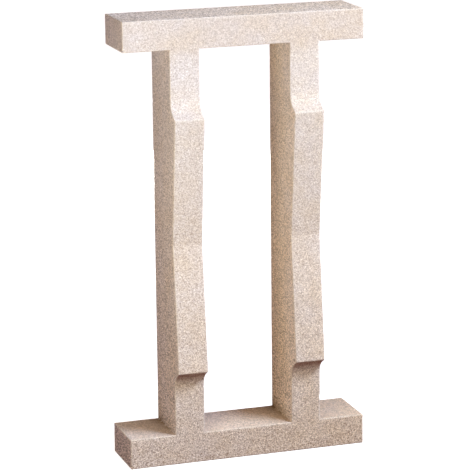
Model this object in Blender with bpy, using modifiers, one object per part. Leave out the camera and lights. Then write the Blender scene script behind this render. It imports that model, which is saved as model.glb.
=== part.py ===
"""A cast-stone balustrade panel: two profiled uprights between a top rail and a base rail.

The panel is one casting, so it is one solid. It is what its front view and its side view share:
the front view gives the rails, the uprights and the openings between them, and the side view gives
the rails' depth and the uprights' profile. The back is one flat plane. On the front each upright
swells forward twice, over and under a waist at mid height, and is flush with the rails at its necks.

Metres, +Z up. The origin is the centre of the base rail's underside, and the swells face -Y.
"""
import math

import bmesh
import bpy
from mathutils import Matrix

# Rails
PANEL_HEIGHT = 0.730
RAIL_LENGTH = 0.402
RAIL_DEPTH = 0.100
TOP_RAIL_HEIGHT = 0.049
BASE_RAIL_HEIGHT = 0.050

# Uprights, seen from the front
UPRIGHT_COUNT = 2
UPRIGHT_WIDTH = 0.050
UPRIGHT_SPACING = 0.200

# Front profile of an upright: neck, splay out to the swell's arris, flank back to the waist
NECK_HEIGHT = 0.0945
SPLAY_RISE = 0.014
SWELL_PROJECTION = 0.0235
WAIST_PROJECTION = 0.001
FILLET_RADIUS = 0.025
FILLET_SEGMENTS = 8

# Arrises, softened by the mould and by handling
ARRIS_RADIUS = 0.0015
ARRIS_SEGMENTS = 2
SHARPEST_CURVE_ANGLE = math.radians(30)

# How far each view's extrusion runs past the other view's outline
OVERRUN = 0.050
MERGE_DISTANCE = 0.00001

# Cast stone: white cement, crushed limestone and sand
STONE_COLOR = (0.716, 0.604, 0.520, 1.0)
STONE_ROUGHNESS = 0.93

PANEL_NAME = "baluster_panel"


def upright_centres():
    """Upright centre lines, evenly spaced about the middle of the rails."""
    first = -(UPRIGHT_COUNT - 1) * UPRIGHT_SPACING / 2
    return [first + index * UPRIGHT_SPACING for index in range(UPRIGHT_COUNT)]


def front_outlines():
    """The front view, as (x, z) loops: the outer outline, then the opening between each two uprights."""
    end = RAIL_LENGTH / 2
    under_top_rail = PANEL_HEIGHT - TOP_RAIL_HEIGHT
    centres = upright_centres()
    left_side = centres[0] - UPRIGHT_WIDTH / 2
    right_side = centres[-1] + UPRIGHT_WIDTH / 2
    outer = [
        (-end, 0), (end, 0), (end, BASE_RAIL_HEIGHT), (right_side, BASE_RAIL_HEIGHT),
        (right_side, under_top_rail), (end, under_top_rail), (end, PANEL_HEIGHT), (-end, PANEL_HEIGHT),
        (-end, under_top_rail), (left_side, under_top_rail), (left_side, BASE_RAIL_HEIGHT),
        (-end, BASE_RAIL_HEIGHT),
    ]
    openings = []
    for left_centre, right_centre in zip(centres, centres[1:]):
        left = left_centre + UPRIGHT_WIDTH / 2
        right = right_centre - UPRIGHT_WIDTH / 2
        openings.append([
            (left, BASE_RAIL_HEIGHT), (right, BASE_RAIL_HEIGHT), (right, under_top_rail), (left, under_top_rail),
        ])
    return [outer] + openings


def cove(rail_edge, direction):
    """Neck to arris, as (projection, z) points: up the neck, round the fillet and out along the splay.

    rail_edge is the height where the neck leaves its rail, and direction is +1 when the profile
    climbs away from the base rail and -1 when it drops away from the top rail.
    """
    splay_turn = math.atan2(SWELL_PROJECTION, SPLAY_RISE)
    tangent_length = FILLET_RADIUS * math.tan(splay_turn / 2)
    fillet_start = NECK_HEIGHT - tangent_length
    points = []
    for step in range(FILLET_SEGMENTS + 1):
        turn = splay_turn * step / FILLET_SEGMENTS
        projection = FILLET_RADIUS * (1 - math.cos(turn))
        along = fillet_start + FILLET_RADIUS * math.sin(turn)
        points.append((projection, rail_edge + direction * along))
    points.append((SWELL_PROJECTION, rail_edge + direction * (NECK_HEIGHT + SPLAY_RISE)))
    return points


def side_outline():
    """The side view, as one (y, z) loop: the front profile from the base up, then the flat back.

    It runs past the panel above and below, so that the front view alone sets the height.
    """
    front = -RAIL_DEPTH / 2
    back = RAIL_DEPTH / 2
    under_top_rail = PANEL_HEIGHT - TOP_RAIL_HEIGHT
    waist = (BASE_RAIL_HEIGHT + under_top_rail) / 2
    profile = [(0, -OVERRUN)]
    profile += cove(BASE_RAIL_HEIGHT, 1)
    profile.append((WAIST_PROJECTION, waist))
    profile += reversed(cove(under_top_rail, -1))
    profile.append((0, PANEL_HEIGHT + OVERRUN))
    flat_back = [(back, PANEL_HEIGHT + OVERRUN), (back, -OVERRUN)]
    return [(front - projection, z) for projection, z in profile] + flat_back


def extruded_view(name, loops, length, turn):
    """Fill flat loops, extrude them to both sides by half of length and stand them up as a mesh."""
    curve = bpy.data.curves.new(name, "CURVE")
    curve.dimensions = "2D"
    curve.fill_mode = "BOTH"
    curve.extrude = length / 2
    for loop in loops:
        spline = curve.splines.new("POLY")
        spline.points.add(len(loop) - 1)
        for point, (across, up) in zip(spline.points, loop):
            point.co = (across, up, 0, 1)
        spline.use_cyclic_u = True
    guide = bpy.data.objects.new(name + "_outline", curve)
    bpy.context.scene.collection.objects.link(guide)
    guide.matrix_world = turn
    bpy.context.view_layer.update()
    evaluated = guide.evaluated_get(bpy.context.evaluated_depsgraph_get())
    mesh = bpy.data.meshes.new_from_object(evaluated)
    mesh.name = name
    weld_and_flatten(mesh)
    view = bpy.data.objects.new(name, mesh)
    view.matrix_world = guide.matrix_world
    bpy.data.objects.remove(guide)
    return view


def weld_and_flatten(mesh):
    """Weld the caps to the sides, and join the triangles of each flat face into one face."""
    bm = bmesh.new()
    bm.from_mesh(mesh)
    bmesh.ops.remove_doubles(bm, verts=bm.verts, dist=MERGE_DISTANCE)
    bmesh.ops.recalc_face_normals(bm, faces=bm.faces)
    bmesh.ops.dissolve_limit(bm, angle_limit=math.radians(0.1), verts=bm.verts, edges=bm.edges)
    bm.to_mesh(mesh)
    bm.free()


def stone():
    """Pale warm cast stone with a dull, sandy surface."""
    material = bpy.data.materials.new("cast_stone")
    material.use_nodes = True
    shader = material.node_tree.nodes["Principled BSDF"]
    shader.inputs["Base Color"].default_value = STONE_COLOR
    shader.inputs["Roughness"].default_value = STONE_ROUGHNESS
    shader.inputs["Metallic"].default_value = 0.0
    material.diffuse_color = STONE_COLOR
    return material


def soften_arrises(panel):
    """Round every sharp edge, but not the fillets' own facets nor the shallow crease at the waist."""
    bevel = panel.modifiers.new("arrises", "BEVEL")
    bevel.width = ARRIS_RADIUS
    bevel.segments = ARRIS_SEGMENTS
    bevel.limit_method = "ANGLE"
    bevel.angle_limit = SHARPEST_CURVE_ANGLE


def build():
    for old in list(bpy.data.objects):
        bpy.data.objects.remove(old)

    parts = bpy.data.collections.new(PANEL_NAME)
    cutters = bpy.data.collections.new("cutters")
    bpy.context.scene.collection.children.link(parts)
    bpy.context.scene.collection.children.link(cutters)

    # The front view lies in XZ and the side view in YZ
    face_front = Matrix.Rotation(math.radians(90), 4, "X")
    face_side = Matrix.Rotation(math.radians(90), 4, "Z") @ face_front
    through_depth = 2 * (RAIL_DEPTH + SWELL_PROJECTION + OVERRUN)
    panel = extruded_view(PANEL_NAME, front_outlines(), through_depth, face_front)
    profile = extruded_view("side_view", [side_outline()], RAIL_LENGTH + 2 * OVERRUN, face_side)
    parts.objects.link(panel)
    cutters.objects.link(profile)
    profile.hide_render = True
    profile.display_type = "WIRE"

    shared = panel.modifiers.new("side_view", "BOOLEAN")
    shared.operation = "INTERSECT"
    shared.solver = "EXACT"
    shared.object = profile
    soften_arrises(panel)
    panel.data.materials.append(stone())


build()
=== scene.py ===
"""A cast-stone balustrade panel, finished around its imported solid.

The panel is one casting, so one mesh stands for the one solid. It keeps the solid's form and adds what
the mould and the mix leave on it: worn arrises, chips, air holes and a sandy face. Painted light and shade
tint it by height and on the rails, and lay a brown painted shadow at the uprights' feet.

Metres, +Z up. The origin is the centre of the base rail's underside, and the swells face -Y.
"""
import math
import random

import bmesh
import bpy
from mathutils import Matrix, Vector, noise


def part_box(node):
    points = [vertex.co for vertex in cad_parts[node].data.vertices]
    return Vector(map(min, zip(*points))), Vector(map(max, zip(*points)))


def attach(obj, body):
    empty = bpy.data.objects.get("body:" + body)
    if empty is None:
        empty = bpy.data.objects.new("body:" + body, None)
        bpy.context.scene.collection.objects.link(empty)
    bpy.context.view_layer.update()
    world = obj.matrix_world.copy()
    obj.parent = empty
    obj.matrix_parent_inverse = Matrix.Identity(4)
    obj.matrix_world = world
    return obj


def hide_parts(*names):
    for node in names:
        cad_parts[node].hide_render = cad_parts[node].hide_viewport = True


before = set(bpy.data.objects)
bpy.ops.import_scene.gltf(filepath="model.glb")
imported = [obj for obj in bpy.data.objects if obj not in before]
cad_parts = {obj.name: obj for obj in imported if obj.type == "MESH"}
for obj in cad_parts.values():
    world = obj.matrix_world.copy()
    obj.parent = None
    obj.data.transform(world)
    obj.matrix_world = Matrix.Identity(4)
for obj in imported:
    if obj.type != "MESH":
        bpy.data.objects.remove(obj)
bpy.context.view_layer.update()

MM = 0.001

# The solid's own sizes
PANEL_NODE = "baluster_panel"
PANEL_LOW, PANEL_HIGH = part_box(PANEL_NODE)
PANEL_HEIGHT = PANEL_HIGH.z - PANEL_LOW.z
RAIL_LENGTH = PANEL_HIGH.x - PANEL_LOW.x
BASE_RAIL_HEIGHT = 50 * MM
TOP_RAIL_HEIGHT = 49 * MM
RAIL_DEPTH = 100 * MM
UPRIGHT_WIDTH = 50 * MM
UPRIGHT_OFFSET = 100 * MM
NECK_HEIGHT = 94.5 * MM
SPLAY_RISE = 14 * MM
SWELL_PROJECTION = 23.5 * MM
WAIST_PROJECTION = 1 * MM
FILLET_RADIUS = 25 * MM
ARRIS_RADIUS = 1.5 * MM

# Places on an upright's front, as heights above the base rail or depths below the top rail
SPLAY_TURN = math.atan2(SWELL_PROJECTION, SPLAY_RISE)
FILLET_START = NECK_HEIGHT - FILLET_RADIUS * math.tan(SPLAY_TURN / 2)
FILLET_END = FILLET_START + FILLET_RADIUS * math.sin(SPLAY_TURN)
SWELL_ARRIS = NECK_HEIGHT + SPLAY_RISE
UNDER_TOP_RAIL = PANEL_HEIGHT - TOP_RAIL_HEIGHT
WAIST = (UNDER_TOP_RAIL - BASE_RAIL_HEIGHT) / 2

# Mesh lines. A margin is the first row beside an arris, wide enough for the arris's own rounding.
LINE_PITCH = 2.95 * MM
ARRIS_MARGIN = 3 * MM
FRONT_MARGIN = 4.5 * MM
FILLET_LINES = 9
ARRIS_SEGMENTS = 4
SHARPEST_CURVE_ANGLE = math.radians(30)
SHARP_SHADING_ANGLE = math.radians(50)

# Finish in the mesh. Depths are measured inwards, so the finish never leaves the solid's box.
SEED = 7
SAND_DEPTH = 0.08 * MM
MOULD_WAVE_DEPTH = 0.12 * MM
MOULD_WAVE_LENGTH = 46 * MM
VERTEX_SCATTER = 0.5 * MM
ARRIS_WEAR_DEPTH = 0.15 * MM
ARRIS_WEAR_LENGTH = 7 * MM
ARRIS_WEAR_BIAS = 0.35
LEAST_RUBBED = 0.4
AIR_HOLE_RADII = (0.65 * MM, 0.85 * MM, 1.05 * MM, 1.25 * MM)
AIR_HOLES_OF_EACH = (60, 48, 30, 14)
AIR_HOLE_DEPTH_SHARE = 0.9
AIR_HOLE_RIM_SHARES = (0.8, 1.1)
AIR_HOLE_ROOM = 1.4
CHIP_COUNT = 46
CHIP_RADII = (1.6 * MM, 3.6 * MM)
CHIP_DEPTH_SHARE = 0.24

# Mix: the two colours it varies between, how wide its clouds are, and how creamy each end is
PINK_MIX = "#dcd2d1"
CREAM_MIX = "#dcc6ac"
CLOUD_WIDTH = 60 * MM
CLOUD_SHARE = 0.9
# The ends' creaminess is a painted tint of the light: pinker at the left, creamier at the right
CREAM_AT_LEFT = -0.2
CREAM_AT_RIGHT = 0.3
STONE_ROUGHNESS = 0.93

# Sand. A grain in the mix is about a millimetre across, and the front's are drawn at that size. The sides
# and beds are seen at a slant, so grains there, and the grit, are drawn as coarse as they need to show.
SAND_GRAIN = 1.1 * MM
SIDE_GRAIN = 1.6 * MM
GRIT_WIDTH = 2.6 * MM
PIT_SPACING = 4.2 * MM
MOULD_DRAW = 0.45
SAND_CONTRAST = 0.8
GRIT_CONTRAST = 0.6
SAND_RELIEF = 0.12 * MM
PIT_RELIEF = 0.4 * MM

# How much more than on the front the grain stands out, and how much more near the ground, as painted shading
# of the relief under more grazing light
SIDE_COARSENESS = 0.05
TOP_BED_COARSENESS = 0.75
LEDGE_COARSENESS = -0.5
SAND_AT_BASE = 1.6
SAND_AT_TOP = 0.63
GRAIN_CONTRAST_FALL_OFF = 0.4

# Tints, as shares of red, green and blue: one for the front's sand, then painted light and shade by height,
# then a darker, warmer tint for the rails
UNTINTED = (1.0, 1.0, 1.0, 1.0)
FRONT_SAND_TINT = (0.86, 1.0, 1.08, 1.0)
LOW_PAINTED_SHADE_TINT = (0.985, 0.945, 0.895, 1.0)
HIGH_PAINTED_LIGHT_TINT = (1.01, 1.05, 1.10, 1.0)
# The rails' darker, warmer tint, which on their ends is painted shade
RAIL_DARKENING_TINT = (0.915, 0.866, 0.807, 1.0)

# Rail tint: the shares of a darker, warmer tint at the left and right of each rail's front, and on each
# rail's ends, where it is painted shade
TOP_RAIL_DARKENING = (0.45, 1.0)
BASE_RAIL_DARKENING = (0.0, 0.4)
TOP_RAIL_END_SHADE = 0.65
BASE_RAIL_END_SHADE = 0.3
RAIL_DARKENING_FADE = 18 * MM

# Wear, dirt and painted shade in the air holes, and painted shadow at the uprights' feet
RUBBED_STONE = "#efe6dc"
RUBBED_SHARE = 0.3
# Dirt, and painted shade, in the air holes' recesses
AIR_HOLE_DIRT_AND_SHADE = "#8d7b6c"
# The painted shadow's brown, how far it reaches, and its share on the lit right side and at the front
PAINTED_SHADOW_BROWN = "#765735"
PAINTED_SHADOW_REACH = 27 * MM
PAINTED_SHADOW_ON_LIT_SIDE = 0.58
PAINTED_SHADOW_AT_THE_FRONT = 0.2

# Studio. The surround is white to the camera, and lends the shadows a little red.
LIGHT_TARGET = Vector((0, 0, PANEL_HEIGHT / 2))
SURROUND_STRENGTH = 1.05
SHADOW_WARMTH = (0.084, 0.0, 0.0, 1.0)
FLOOR_RADIUS = 6.0
FLOOR_GAP = 0.2 * MM
FLOOR_COLOUR = "#e8e6e3"
FLOOR_GLOW_START = 0.5
FLOOR_GLOW_END = 1.3
FLOOR_GLOW = 0.8

# Camera, as fitted to the photograph
CAMERA_PLACE = Vector((-1.2099, -3.6696, 1.2958))
CAMERA_YAW = math.radians(18.199)
CAMERA_PITCH = math.radians(13.577)
CAMERA_ROLL = math.radians(0.618)
SENSOR_WIDTH = 36.0
LENS = 187.06


def projection(z):
    """How far an upright's front stands forward of the rails: neck, fillet, splay, flank to the waist."""
    climb = min(z - BASE_RAIL_HEIGHT, UNDER_TOP_RAIL - z)
    if climb <= FILLET_START:
        return 0.0
    if climb <= FILLET_END:
        return FILLET_RADIUS - math.sqrt(FILLET_RADIUS ** 2 - (climb - FILLET_START) ** 2)
    if climb <= SWELL_ARRIS:
        return SWELL_PROJECTION * (climb - NECK_HEIGHT) / SPLAY_RISE
    flank = (climb - SWELL_ARRIS) / (WAIST - SWELL_ARRIS)
    return SWELL_PROJECTION + (WAIST_PROJECTION - SWELL_PROJECTION) * flank


def spaced(breaks, pitch):
    """Lines from the first break to the last, about a pitch apart, with one on each break."""
    lines = [breaks[0]]
    for start, stop in zip(breaks, breaks[1:]):
        steps = max(1, round((stop - start) / pitch))
        lines += [start + (stop - start) * step / steps for step in range(1, steps + 1)]
    return lines


def lines_across():
    """X lines from end to end, with a break at each side of each upright."""
    inner = UPRIGHT_OFFSET - UPRIGHT_WIDTH / 2
    outer = UPRIGHT_OFFSET + UPRIGHT_WIDTH / 2
    half = spaced([0, inner - ARRIS_MARGIN, inner, inner + ARRIS_MARGIN, outer - ARRIS_MARGIN, outer,
                   outer + ARRIS_MARGIN, RAIL_LENGTH / 2 - ARRIS_MARGIN], LINE_PITCH)
    half.append(RAIL_LENGTH / 2)
    return [-x for x in reversed(half[1:])] + half


def lines_up():
    """Z lines from bed to bed, closer where the front curves and along the splays."""
    climb = spaced([0, ARRIS_MARGIN, FILLET_START], LINE_PITCH)
    for line in range(1, FILLET_LINES + 1):
        climb.append(FILLET_START + FILLET_RADIUS * math.sin(SPLAY_TURN * line / FILLET_LINES))
    steepness = math.cos(SPLAY_TURN)
    climb += spaced([climb[-1], SWELL_ARRIS - ARRIS_MARGIN * steepness], LINE_PITCH * steepness)[1:]
    climb += [SWELL_ARRIS] + spaced([SWELL_ARRIS + ARRIS_MARGIN, WAIST], LINE_PITCH)
    base_rail = spaced([0, ARRIS_MARGIN, BASE_RAIL_HEIGHT - ARRIS_MARGIN], LINE_PITCH)
    top_rail = spaced([0, ARRIS_MARGIN, TOP_RAIL_HEIGHT - ARRIS_MARGIN], LINE_PITCH)
    lower_half = base_rail + [BASE_RAIL_HEIGHT + z for z in climb]
    upper_half = top_rail + [TOP_RAIL_HEIGHT + z for z in climb[:-1]]
    return lower_half + [PANEL_HEIGHT - z for z in reversed(upper_half)]


def lines_back():
    """Y lines from the rails' front to the flat back."""
    front = -RAIL_DEPTH / 2
    back = RAIL_DEPTH / 2
    return [front] + spaced([front + FRONT_MARGIN, back - ARRIS_MARGIN], LINE_PITCH) + [back]


def on_line(share, lines):
    """The line that a share of the way through evenly numbered lines falls on."""
    return lines[round(share * (len(lines) - 1))]


def cut_out_front(stone):
    """The front view as a grid of small cells, with the window and the two bays cut away."""
    across = lines_across()
    up = lines_up()
    bmesh.ops.create_grid(stone, x_segments=len(across) - 1, y_segments=len(up) - 1, size=0.5)
    for vert in stone.verts:
        vert.co = (on_line(vert.co.x + 0.5, across), -RAIL_DEPTH / 2, on_line(vert.co.y + 0.5, up))
    cut_away = []
    for cell in stone.faces:
        centre = cell.calc_center_median()
        between_rails = BASE_RAIL_HEIGHT < centre.z < UNDER_TOP_RAIL
        if between_rails and abs(abs(centre.x) - UPRIGHT_OFFSET) > UPRIGHT_WIDTH / 2:
            cut_away.append(cell)
    bmesh.ops.delete(stone, geom=cut_away, context="FACES")


def thicken_to_back(stone):
    """Extrude the front to the flat back, and cut the walls between them into rows."""
    back_lines = lines_back()
    extruded = bmesh.ops.extrude_face_region(stone, geom=stone.faces[:])
    back_verts = [part for part in extruded["geom"] if isinstance(part, bmesh.types.BMVert)]
    bmesh.ops.translate(stone, vec=(0, RAIL_DEPTH, 0), verts=back_verts)
    through = [edge for edge in stone.edges if abs(edge.verts[0].co.y - edge.verts[1].co.y) > RAIL_DEPTH / 2]
    bmesh.ops.subdivide_edges(stone, edges=through, cuts=len(back_lines) - 2, use_grid_fill=True)
    for vert in stone.verts:
        vert.co.y = on_line(vert.co.y / RAIL_DEPTH + 0.5, back_lines)
    bmesh.ops.recalc_face_normals(stone, faces=stone.faces)


def swell_uprights(stone):
    """Draw each upright forward to its profile. The rows behind the front share the stretch."""
    back = RAIL_DEPTH / 2
    for vert in stone.verts:
        if abs(abs(vert.co.x) - UPRIGHT_OFFSET) < UPRIGHT_WIDTH / 2 + ARRIS_MARGIN / 2:
            stretch = (RAIL_DEPTH + projection(vert.co.z)) / RAIL_DEPTH
            vert.co.y = back - (back - vert.co.y) * stretch
    stone.normal_update()


def place_of(vert):
    """Where a point is. The operators leave points in a new order each run, so draws go by place."""
    return tuple(vert.co)


def round_arrises(stone):
    """Round the outward arrises, and return the points of the roundings in order of place."""
    arrises = [edge for edge in stone.edges if edge.calc_face_angle_signed() > SHARPEST_CURVE_ANGLE]
    rounded = bmesh.ops.bevel(
        stone, geom=arrises, offset=ARRIS_RADIUS, offset_type="OFFSET", affect="EDGES",
        segments=ARRIS_SEGMENTS, profile=0.5, material=-1, clamp_overlap=False)
    return sorted(rounded["verts"], key=place_of)


def wear_faces(stone, points, arris_points, wear_layer):
    """Lay the sand, the mould's slow waves and the arrises' wear into the faces, all of it inwards."""
    chance = random.Random(SEED)
    stone.normal_update()
    on_arris = set(arris_points)
    moves = []
    for vert in points:
        depth = SAND_DEPTH * chance.random()
        depth += MOULD_WAVE_DEPTH * (0.5 + 0.5 * noise.noise(vert.co / MOULD_WAVE_LENGTH))
        scatter = Vector([chance.uniform(-1, 1) for axis in range(3)]) * VERTEX_SCATTER
        if vert in on_arris:
            worn = max(0.0, noise.noise(vert.co / ARRIS_WEAR_LENGTH) + ARRIS_WEAR_BIAS)
            depth += ARRIS_WEAR_DEPTH * worn
            vert[wear_layer] = min(1.0, LEAST_RUBBED + worn)
            scatter = Vector((0, 0, 0))
        along_face = scatter - vert.normal * scatter.dot(vert.normal)
        moves.append(along_face - vert.normal * depth)
    for vert, move in zip(points, moves):
        vert.co += move
    stone.normal_update()


def mark_sides(stone, side_layer, coarse_layer):
    """Mark the sides and beds, and how much more or less than the front's their grain stands out."""
    for vert in stone.verts:
        side = max(0.0, 1.0 - 2 * abs(vert.normal.y))
        vert[side_layer] = side
        if vert.normal.z < 0.5:
            vert[coarse_layer] = side * SIDE_COARSENESS
        elif vert.co.z > PANEL_HEIGHT / 2:
            vert[coarse_layer] = side * TOP_BED_COARSENESS
        else:
            vert[coarse_layer] = side * LEDGE_COARSENESS


def mark_rail_darkening(stone, rail_darkening_layer):
    """Mark where the rails are tinted darker and warmer: their fronts, most at the right, and their ends,
    where the tint is painted shade.
    """
    rail_end = RAIL_LENGTH / 2 - ARRIS_MARGIN
    for vert in stone.verts:
        if vert.co.z > PANEL_HEIGHT / 2:
            at_left, at_right = TOP_RAIL_DARKENING
            at_end = TOP_RAIL_END_SHADE
            off_rail = max(0.0, UNDER_TOP_RAIL - vert.co.z)
        else:
            at_left, at_right = BASE_RAIL_DARKENING
            at_end = BASE_RAIL_END_SHADE
            off_rail = max(0.0, vert.co.z - BASE_RAIL_HEIGHT)
        if abs(vert.normal.y) >= 0.5:
            rightwards = vert.co.x / RAIL_LENGTH + 0.5
            on_rail = max(0.0, 1 - off_rail / RAIL_DARKENING_FADE)
            vert[rail_darkening_layer] = on_rail * (at_left + (at_right - at_left) * rightwards)
        # On the rails' ends the tint is painted shade
        elif abs(vert.normal.x) > 0.5 and abs(vert.co.x) > rail_end:
            vert[rail_darkening_layer] = at_end


def mark_painted_shadow(stone, painted_shadow_layer):
    """Mark the brown painted shadow in the corners at the uprights' feet, most on the shaded left and towards
    the back.
    """
    for vert in stone.verts:
        above_rail = vert.co.z - BASE_RAIL_HEIGHT
        if above_rail < -SAND_DEPTH - MOULD_WAVE_DEPTH or abs(vert.normal.y) > 0.5:
            continue
        beside = vert.co.x - math.copysign(UPRIGHT_OFFSET, vert.co.x)
        from_side = max(0.0, abs(beside) - UPRIGHT_WIDTH / 2)
        shadowed = math.exp(-math.hypot(from_side, 2 * above_rail) / PAINTED_SHADOW_REACH)
        backwards = vert.co.y / RAIL_DEPTH + 0.5
        shadowed *= PAINTED_SHADOW_AT_THE_FRONT + (1 - PAINTED_SHADOW_AT_THE_FRONT) * min(1.0, max(0.0, backwards))
        vert[painted_shadow_layer] = shadowed * (1.0 if beside < 0 else PAINTED_SHADOW_ON_LIT_SIDE)


def chip_arrises(stone, arris_points, wear_layer):
    """Scoop small chips out of the arrises, where a casting is knocked first."""
    chance = random.Random(SEED + 1)
    for centre in chance.sample(arris_points, CHIP_COUNT):
        radius = chance.uniform(*CHIP_RADII)
        depth = radius * CHIP_DEPTH_SHARE
        middle = centre.co.copy()
        inwards = -centre.normal
        for vert in arris_points:
            reach = (vert.co - middle).length / radius
            if reach < 1:
                vert.co += inwards * depth * math.sqrt(1 - reach ** 2)
                vert[wear_layer] = 1.0
    stone.normal_update()


def spread_holes(free, radius, count, chance):
    """Choose points for air holes of one size, away from each other. Return them and the points used up."""
    roomy = []
    for vert in free:
        if min(edge.calc_length() for edge in vert.link_edges) > radius * AIR_HOLE_ROOM:
            roomy.append(vert)
    centres = []
    taken = set()
    for vert in chance.sample(roomy, len(roomy)):
        if len(centres) == count:
            break
        around = {edge.other_vert(vert) for edge in vert.link_edges}
        if vert not in taken and not around & taken:
            centres.append(vert)
            taken |= around | {vert}
    return centres, taken


def open_air_holes(stone, points, arris_points, hole_layer):
    """Open the small round holes that air trapped against the mould leaves, in a few sizes."""
    chance = random.Random(SEED + 2)
    near_arris = set(arris_points)
    for vert in arris_points:
        near_arris.update(edge.other_vert(vert) for edge in vert.link_edges)
    free = [vert for vert in points if vert not in near_arris and vert.co.z > ARRIS_MARGIN]
    for radius, count in zip(AIR_HOLE_RADII, AIR_HOLES_OF_EACH):
        centres, taken = spread_holes(free, radius, count, chance)
        free = [vert for vert in free if vert not in taken]
        holes = bmesh.ops.bevel(
            stone, geom=centres, offset=radius, offset_type="OFFSET", affect="VERTICES",
            segments=2, profile=0.5, material=-1)
        for bottom in sorted(holes["verts"], key=place_of):
            if any(face not in holes["faces"] for face in bottom.link_faces):
                continue
            rims = [rim for face in bottom.link_faces for rim in face.verts if rim is not bottom]
            for rim in sorted(rims, key=place_of):
                outward = rim.co - bottom.co
                if outward.length > 0:
                    reach = radius * chance.uniform(*AIR_HOLE_RIM_SHARES)
                    rim.co = bottom.co + outward.normalized() * reach
            bottom.co -= bottom.normal * radius * AIR_HOLE_DEPTH_SHARE
            bottom[hole_layer] = 1.0


def cast_panel():
    """The whole casting as one closed mesh, with its wear, rail tint and painted shadow marked on its points.
    """
    stone = bmesh.new()
    cut_out_front(stone)
    thicken_to_back(stone)
    swell_uprights(stone)
    wear_layer = stone.verts.layers.float.new("arris_wear")
    hole_layer = stone.verts.layers.float.new("air_hole")
    side_layer = stone.verts.layers.float.new("side_face")
    coarse_layer = stone.verts.layers.float.new("coarse")
    rail_darkening_layer = stone.verts.layers.float.new("rail_darkening")
    painted_shadow_layer = stone.verts.layers.float.new("painted_shadow")
    arris_points = round_arrises(stone)
    points = sorted(stone.verts, key=place_of)
    wear_faces(stone, points, arris_points, wear_layer)
    mark_sides(stone, side_layer, coarse_layer)
    mark_rail_darkening(stone, rail_darkening_layer)
    mark_painted_shadow(stone, painted_shadow_layer)
    chip_arrises(stone, arris_points, wear_layer)
    open_air_holes(stone, points, arris_points, hole_layer)
    for face in stone.faces:
        face.smooth = True
    mesh = bpy.data.meshes.new("cast_panel")
    stone.to_mesh(mesh)
    stone.free()
    mesh.set_sharp_from_angle(angle=SHARP_SHADING_ANGLE)
    casting = bpy.data.objects.new("cast_panel", mesh)
    bpy.context.scene.collection.objects.link(casting)
    return casting


def linear(hex_colour):
    """An sRGB hex colour as the linear colour that shaders take."""
    channels = [int(hex_colour[start:start + 2], 16) / 255 for start in (1, 3, 5)]
    return tuple(c / 12.92 if c <= 0.04045 else ((c + 0.055) / 1.055) ** 2.4 for c in channels) + (1.0,)


def add(tree, kind, inputs=(), **settings):
    """Add a node, give it its settings, and link each input to a socket or set it to a value."""
    made = tree.nodes.new(kind)
    for name, value in settings.items():
        setattr(made, name, value)
    for name, value in dict(inputs).items():
        if isinstance(value, bpy.types.NodeSocket):
            tree.links.new(value, made.inputs[name])
        else:
            made.inputs[name].default_value = value
    return made


def mixed_stone(tree, place, across):
    """The mix's colour in faint clouds, with a painted tint of the light from pinker at the left end to
    creamier at the right.
    """
    # Painted tint of the light, from pinker at the left end to creamier at the right
    painted_light_drift = add(tree, "ShaderNodeMapRange", {
        "Value": across, "From Min": -RAIL_LENGTH / 2, "From Max": RAIL_LENGTH / 2,
        "To Min": CREAM_AT_LEFT, "To Max": CREAM_AT_RIGHT}).outputs["Result"]
    clouds = add(tree, "ShaderNodeTexNoise", {
        "Vector": place, "Scale": 1 / CLOUD_WIDTH, "Detail": 4.0, "Roughness": 0.7}).outputs["Fac"]
    cream = add(tree, "ShaderNodeMath", {0: clouds, 1: CLOUD_SHARE, 2: painted_light_drift},
                operation="MULTIPLY_ADD", use_clamp=True).outputs[0]
    return add(tree, "ShaderNodeMix", {0: cream, 6: linear(PINK_MIX), 7: linear(CREAM_MIX)},
               data_type="RGBA").outputs[2]


def height_and_rail_tint(tree, climb):
    """Painted light and shade by height, cooler and paler at the top and warmer and darker at the bottom, and
    the rails' darker, warmer tint.
    """
    # Painted light and shade by height: cooler and paler at the top, warmer and darker at the bottom
    by_height = add(tree, "ShaderNodeMix", {0: climb, 6: LOW_PAINTED_SHADE_TINT, 7: HIGH_PAINTED_LIGHT_TINT},
                 data_type="RGBA").outputs[2]
    rail_darkening = add(tree, "ShaderNodeAttribute", attribute_name="rail_darkening").outputs["Fac"]
    rail_tint = add(tree, "ShaderNodeMix", {0: rail_darkening, 6: UNTINTED, 7: RAIL_DARKENING_TINT},
                 data_type="RGBA").outputs[2]
    return add(tree, "ShaderNodeVectorMath", {0: by_height, 1: rail_tint}, operation="MULTIPLY").outputs["Vector"]


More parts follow.
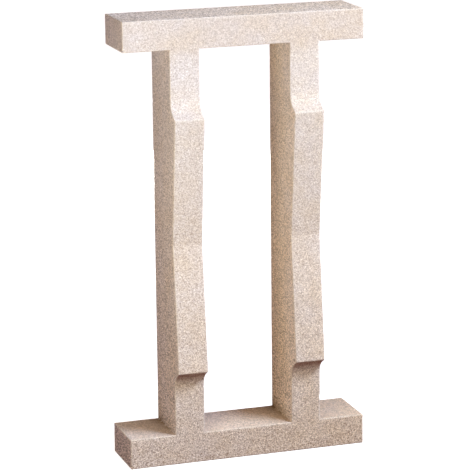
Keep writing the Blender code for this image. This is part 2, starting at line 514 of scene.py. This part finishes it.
def sand_shades(tree, place, drawn, climb):
    """How much paler or darker than the mix each grain and each patch of grit is."""
    side = add(tree, "ShaderNodeAttribute", attribute_name="side_face").outputs["Fac"]
    sand = add(tree, "ShaderNodeTexVoronoi", {"Vector": place, "Scale": 1 / SAND_GRAIN}).outputs["Color"]
    side_sand = add(tree, "ShaderNodeTexVoronoi", {"Vector": drawn, "Scale": 1 / SIDE_GRAIN}).outputs["Color"]
    shades = add(tree, "ShaderNodeMix", {0: side, 6: sand, 7: side_sand}, data_type="RGBA").outputs[2]
    grain = add(tree, "ShaderNodeSeparateColor", {"Color": shades}).outputs["Red"]
    grit = add(tree, "ShaderNodeTexNoise", {"Vector": place, "Scale": 1 / GRIT_WIDTH, "Detail": 0.0})

    # Both run from 0 to 1, so half of both contrasts comes off to leave the mix's own colour between them
    tone = add(tree, "ShaderNodeMath", {0: grain, 1: SAND_CONTRAST, 2: -(SAND_CONTRAST + GRIT_CONTRAST) / 2},
               operation="MULTIPLY_ADD").outputs[0]
    tone = add(tree, "ShaderNodeMath", {0: grit.outputs["Fac"], 1: GRIT_CONTRAST, 2: tone},
               operation="MULTIPLY_ADD").outputs[0]
    coarse = add(tree, "ShaderNodeAttribute", attribute_name="coarse").outputs["Fac"]
    tone = add(tree, "ShaderNodeMath", {0: tone, 1: coarse, 2: tone}, operation="MULTIPLY_ADD").outputs[0]

    # The grain stands out more near the ground: painted shading of the relief under more grazing light
    height_share = add(tree, "ShaderNodeMath", {0: climb, 1: GRAIN_CONTRAST_FALL_OFF}, operation="POWER").outputs[0]
    near_ground_contrast = add(tree, "ShaderNodeMapRange", {"Value": height_share, "To Min": SAND_AT_BASE, "To Max": SAND_AT_TOP})
    tone = add(tree, "ShaderNodeMath", {0: tone, 1: near_ground_contrast.outputs["Result"]},
               operation="MULTIPLY").outputs[0]
    tint = add(tree, "ShaderNodeMix", {0: side, 6: FRONT_SAND_TINT, 7: UNTINTED},
               data_type="RGBA").outputs[2]
    return add(tree, "ShaderNodeVectorMath", {0: tone, 1: tint, 2: (1.0, 1.0, 1.0)},
               operation="MULTIPLY_ADD").outputs["Vector"]


def worn_dirty_and_shadowed(tree, stone):
    """The stone with its arrises rubbed paler, dirt and painted shade in its air holes, and brown painted
    shadow at the uprights' feet.
    """
    wear = add(tree, "ShaderNodeAttribute", attribute_name="arris_wear").outputs["Fac"]
    rubbed = add(tree, "ShaderNodeMath", {0: wear, 1: RUBBED_SHARE}, operation="MULTIPLY").outputs[0]
    stone = add(tree, "ShaderNodeMix", {0: rubbed, 6: stone, 7: linear(RUBBED_STONE)},
                data_type="RGBA").outputs[2]
    # Air holes: dirt and painted shade in the recess
    hole = add(tree, "ShaderNodeAttribute", attribute_name="air_hole").outputs["Fac"]
    stone = add(tree, "ShaderNodeMix", {0: hole, 6: stone, 7: linear(AIR_HOLE_DIRT_AND_SHADE)},
                data_type="RGBA").outputs[2]
    # Brown painted shadow at the uprights' feet
    painted_shadow = add(tree, "ShaderNodeAttribute", attribute_name="painted_shadow").outputs["Fac"]
    return add(tree, "ShaderNodeMix", {0: painted_shadow, 6: stone, 7: linear(PAINTED_SHADOW_BROWN)}, data_type="RGBA").outputs[2]


def sandy_relief(tree, place, drawn):
    """The relief of the sand's own grain, then of the pits where the coarser stones meet."""
    sand = add(tree, "ShaderNodeTexNoise", {"Vector": place, "Scale": 1 / SAND_GRAIN, "Detail": 2.0})
    grainy = add(tree, "ShaderNodeBump", {
        "Height": sand.outputs["Fac"], "Strength": 1.0, "Distance": SAND_RELIEF}).outputs["Normal"]
    stones = add(tree, "ShaderNodeTexVoronoi", {"Vector": drawn, "Scale": 1 / PIT_SPACING})
    return add(tree, "ShaderNodeBump", {
        "Height": stones.outputs["Distance"], "Strength": 1.0, "Distance": PIT_RELIEF, "Normal": grainy},
        invert=True).outputs["Normal"]


def sandy_cast_stone():
    """Semi-dry cast stone, rammed in a mould: white cement, limestone dust and buff sand.

    The eye gets a pale warm stone with no shine. Its sand grains are a shade apart, with small open pits
    between the coarser stones, and stand out more near the ground, as painted shading of the relief under
    more grazing light. The mix varies in faint clouds of pink and cream, and runs from pinker at the left end
    to creamier at the right, a painted tint of the light. Painted light and shade make the top cooler and
    paler and the bottom warmer and darker. The rails are tinted darker and warmer towards the right and, as
    painted shade, on their ends. Handling has rubbed the arrises paler, and a brown painted shadow lies at
    the uprights' feet.
    """
    material = bpy.data.materials.new("sandy_cast_stone")
    material.use_nodes = True
    tree = material.node_tree
    shader = tree.nodes["Principled BSDF"]
    place = add(tree, "ShaderNodeTexCoord").outputs["Object"]
    axes = add(tree, "ShaderNodeSeparateXYZ", {"Vector": place})
    climb = add(tree, "ShaderNodeMath", {0: axes.outputs["Z"], 1: PANEL_HEIGHT},
                operation="DIVIDE").outputs[0]

    # The mould came off along the depth, and drew the sand on the sides out with it
    drawn = add(tree, "ShaderNodeVectorMath", {0: place, 1: (1.0, MOULD_DRAW, 1.0)},
                operation="MULTIPLY").outputs["Vector"]
    stone = mixed_stone(tree, place, axes.outputs["X"])
    for layer in (height_and_rail_tint(tree, climb), sand_shades(tree, place, drawn, climb)):
        stone = add(tree, "ShaderNodeVectorMath", {0: stone, 1: layer},
                    operation="MULTIPLY").outputs["Vector"]
    tree.links.new(worn_dirty_and_shadowed(tree, stone), shader.inputs["Base Color"])
    tree.links.new(sandy_relief(tree, place, drawn), shader.inputs["Normal"])
    shader.inputs["Roughness"].default_value = STONE_ROUGHNESS
    return material


def white_sweep():
    """Matt white backdrop paper, rolled out flat, with a painted glow: dimmer around the panel, brighter away
    from it. The eye gets a pale floor that fades into plain white.
    """
    material = bpy.data.materials.new("white_sweep")
    material.use_nodes = True
    tree = material.node_tree
    place = add(tree, "ShaderNodeTexCoord").outputs["Object"]
    distance = add(tree, "ShaderNodeVectorMath", {0: place}, operation="LENGTH").outputs["Value"]
    # Painted glow, dimmest around the panel and brighter away from it until the floor is plain white
    glow = add(tree, "ShaderNodeMapRange", {
        "Value": distance, "From Min": FLOOR_GLOW_START, "From Max": FLOOR_GLOW_END,
        "To Min": FLOOR_GLOW, "To Max": SURROUND_STRENGTH}).outputs["Result"]
    shader = tree.nodes["Principled BSDF"]
    shader.inputs["Base Color"].default_value = linear(FLOOR_COLOUR)
    shader.inputs["Roughness"].default_value = 1.0
    shader.inputs["Specular IOR Level"].default_value = 0.0
    shader.inputs["Emission Color"].default_value = (1.0, 1.0, 1.0, 1.0)
    tree.links.new(glow, shader.inputs["Emission Strength"])
    return material


def pale_floor():
    """A pale studio floor that runs out to white, with the panel's soft shadow on it."""
    disc = bmesh.new()
    bmesh.ops.create_circle(disc, cap_ends=True, segments=96, radius=FLOOR_RADIUS)
    mesh = bpy.data.meshes.new("pale_floor")
    disc.to_mesh(mesh)
    disc.free()
    mesh.materials.append(white_sweep())
    floor = bpy.data.objects.new("pale_floor", mesh)
    bpy.context.scene.collection.objects.link(floor)
    floor.location.z = -FLOOR_GAP
    floor.visible_diffuse = False
    floor.visible_glossy = False


def softbox(name, azimuth, elevation, distance, width, watts, colour):
    """A round softbox aimed at the panel. Azimuth 0 is in front, and turns towards the right end."""
    turn = math.radians(azimuth)
    climb = math.radians(elevation)
    towards = Vector((math.sin(turn) * math.cos(climb), -math.cos(turn) * math.cos(climb), math.sin(climb)))
    light = bpy.data.lights.new(name, "AREA")
    light.shape = "DISK"
    light.size = width
    light.energy = watts
    light.color = colour
    lamp = bpy.data.objects.new(name, light)
    bpy.context.scene.collection.objects.link(lamp)
    lamp.location = LIGHT_TARGET + towards * distance
    lamp.rotation_euler = towards.to_track_quat("Z", "Y").to_euler()
    lamp.visible_camera = False


def studio():
    """Cool soft light from the right, a warm fill near the left, a low back light and a white surround."""
    scene = bpy.context.scene
    scene.view_settings.view_transform = "Standard"
    world = bpy.data.worlds.new("white_surround")
    scene.world = world
    world.use_nodes = True
    tree = world.node_tree
    tree.nodes.clear()
    ambient = add(tree, "ShaderNodeBackground", {"Color": SHADOW_WARMTH, "Strength": 1.0})
    white = add(tree, "ShaderNodeBackground", {"Color": (1.0, 1.0, 1.0, 1.0), "Strength": SURROUND_STRENGTH})
    path = add(tree, "ShaderNodeLightPath")
    seen = add(tree, "ShaderNodeMixShader", {
        0: path.outputs["Is Camera Ray"], 1: ambient.outputs[0], 2: white.outputs[0]})
    add(tree, "ShaderNodeOutputWorld", {"Surface": seen.outputs[0]})

    # Azimuth and elevation in degrees, distance and width in metres, watts, and linear colour
    softbox("key", 38, 44, 1.6, 0.5, 24.6, (0.67, 0.80, 1.0))
    softbox("right_fill", 65, 5, 1.6, 0.6, 16.1, (0.83, 0.935, 1.0))
    softbox("near_fill", -50, 10, 0.8, 0.64, 4.26, (1.0, 0.955, 0.66))
    softbox("left_sky", -75, 8, 1.4, 0.6, 2.3, (0.12, 0.35, 1.0))
    softbox("top", 0, 85, 1.0, 0.6, 1.62, (1.0, 0.96, 0.585))
    softbox("rear", 168, -7.5, 2.5, 0.3, 58.0, (0.93, 0.97, 0.95))


def camera():
    """The photograph's view: from the front left, a little above the top rail, through a long lens."""
    lens = bpy.data.cameras.new("camera")
    lens.sensor_width = SENSOR_WIDTH
    lens.lens = LENS
    viewer = bpy.data.objects.new("camera", lens)
    bpy.context.scene.collection.objects.link(viewer)
    turned = Matrix.Rotation(-CAMERA_YAW, 4, "Z")
    tilted = Matrix.Rotation(math.radians(90) - CAMERA_PITCH, 4, "X")
    rolled = Matrix.Rotation(-CAMERA_ROLL, 4, "Z")
    viewer.matrix_world = Matrix.Translation(CAMERA_PLACE) @ turned @ tilted @ rolled
    bpy.context.scene.camera = viewer


camera()
panel = cast_panel()
panel.data.materials.append(sandy_cast_stone())
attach(panel, "root")
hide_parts(PANEL_NODE)
studio()
pale_floor()
